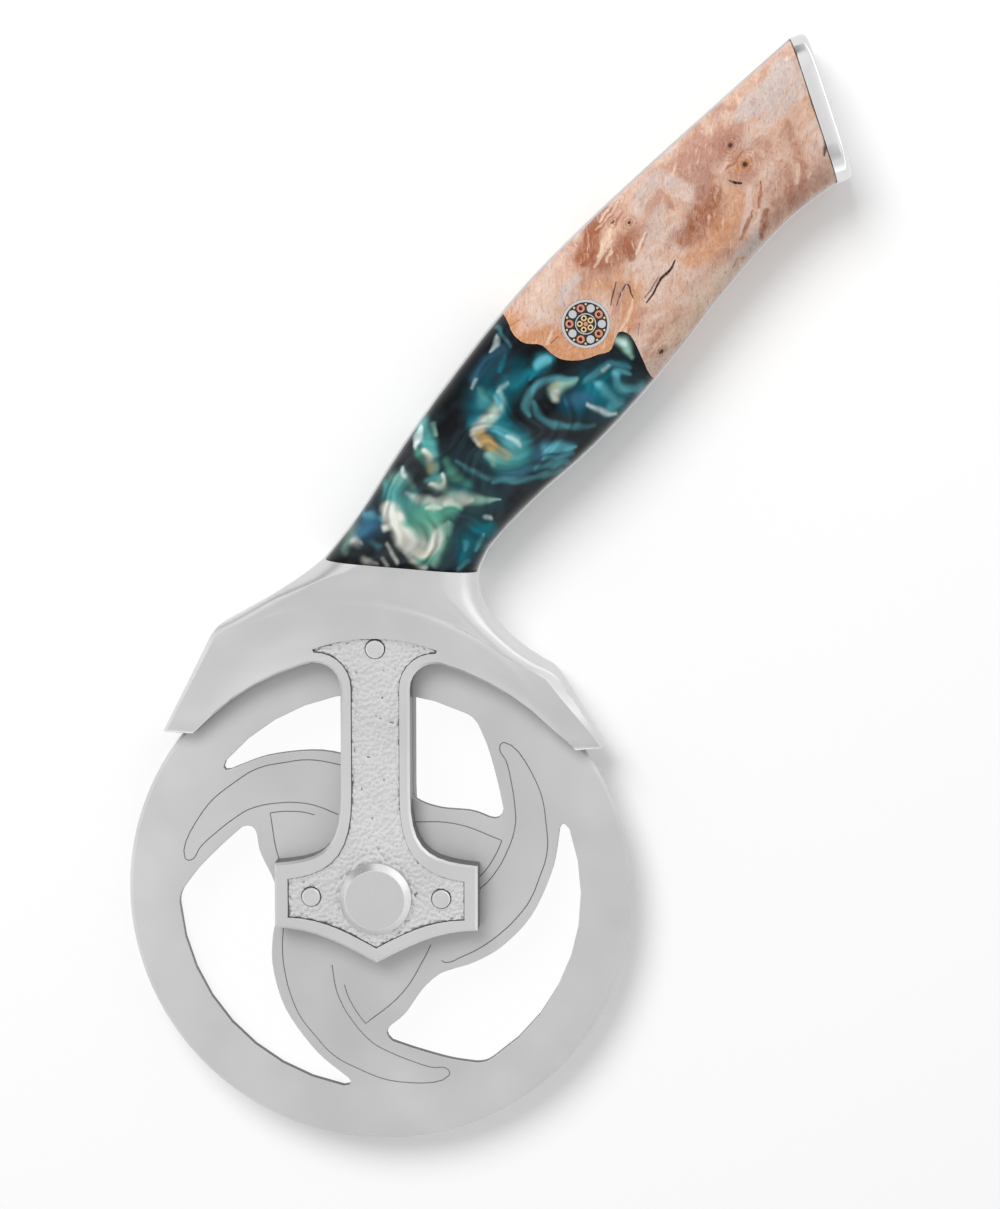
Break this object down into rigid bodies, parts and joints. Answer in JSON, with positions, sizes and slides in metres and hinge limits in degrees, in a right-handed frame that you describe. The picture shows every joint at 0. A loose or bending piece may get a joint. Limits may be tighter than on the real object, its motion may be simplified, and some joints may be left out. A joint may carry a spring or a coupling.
{
  "type": "pizza wheel",
  "caption": "Hand-held pizza wheel: a steel cutting disc with horn-shaped cut-outs spins in a hooded, hammer-armed steel fork on a full-tang burl and resin handle.",
  "frame": {"origin": "under the middle of the part's outline, on the plane of the handle's rear face that it lies on", "axes": "+Y up the arm from the wheel's axle toward the guard, which is the longest way; +Z out of the front of the wheel along its axle; +X to the right as seen from the front, the side the handle leans to"},
  "size_m": [0.1434, 0.2202, 0.0184],
  "materials": {
    "satin_steel": "fine satin",
    "blade_steel": "fine satin, ground toward the edge",
    "polished_steel": "mirror polished",
    "bronze": "machined",
    "washer_plastic": "smooth, low friction",
    "burl_wood": "stabilised and polished burl",
    "cast_resin": "polished, swirled teal, black and cream",
    "copper": "ground flush",
    "brass": "ground flush",
    "epoxy": "ground flush"
  },
  "bodies": {
    "frame": {"burl_scale_front": "burl_wood", "burl_scale_rear": "burl_wood", "butt_cap": "polished_steel", "fork_frame": "satin_steel", "panel_stud_front_left": "polished_steel", "panel_stud_front_right": "polished_steel", "panel_stud_front_top": "polished_steel", "panel_stud_rear_left": "polished_steel", "panel_stud_rear_right": "polished_steel", "panel_stud_rear_top": "polished_steel", "pin_brass_tube_1": "brass", "pin_brass_tube_2": "brass", "pin_brass_tube_3": "brass", "pin_brass_tube_4": "brass", "pin_brass_tube_5": "brass", "pin_brass_wire_1": "brass", "pin_brass_wire_10": "brass", "pin_brass_wire_2": "brass", "pin_brass_wire_3": "brass", "pin_brass_wire_4": "brass", "pin_brass_wire_5": "brass", "pin_brass_wire_6": "brass", "pin_brass_wire_7": "brass", "pin_brass_wire_8": "brass", "pin_brass_wire_9": "brass", "pin_copper_tube_1": "copper", "pin_copper_tube_2": "copper", "pin_copper_tube_3": "copper", "pin_copper_tube_4": "copper", "pin_copper_tube_5": "copper", "pin_core_rod": "copper", "pin_inner_epoxy": "epoxy", "pin_inner_tube": "satin_steel", "pin_outer_epoxy": "epoxy", "pin_outer_tube": "satin_steel", "pin_steel_rod_1": "satin_steel", "pin_steel_rod_2": "satin_steel", "pin_steel_rod_3": "satin_steel", "pin_steel_rod_4": "satin_steel", "pin_steel_rod_5": "satin_steel", "pivot_nut": "satin_steel", "pivot_screw": "satin_steel", "resin_scale_front": "cast_resin", "resin_scale_rear": "cast_resin", "thrust_washer_front": "washer_plastic", "thrust_washer_rear": "washer_plastic"},
    "wheel": {"wheel_blade": "blade_steel", "wheel_bushing": "bronze"}
  },
  "joints": [
    {"name": "wheel_spin", "type": "hinge", "parent": "frame", "child": "wheel", "pos_m": [-0.02085, -0.05933, 0.0092], "axis": [0, 0, 1], "continuous": true}
  ]
}
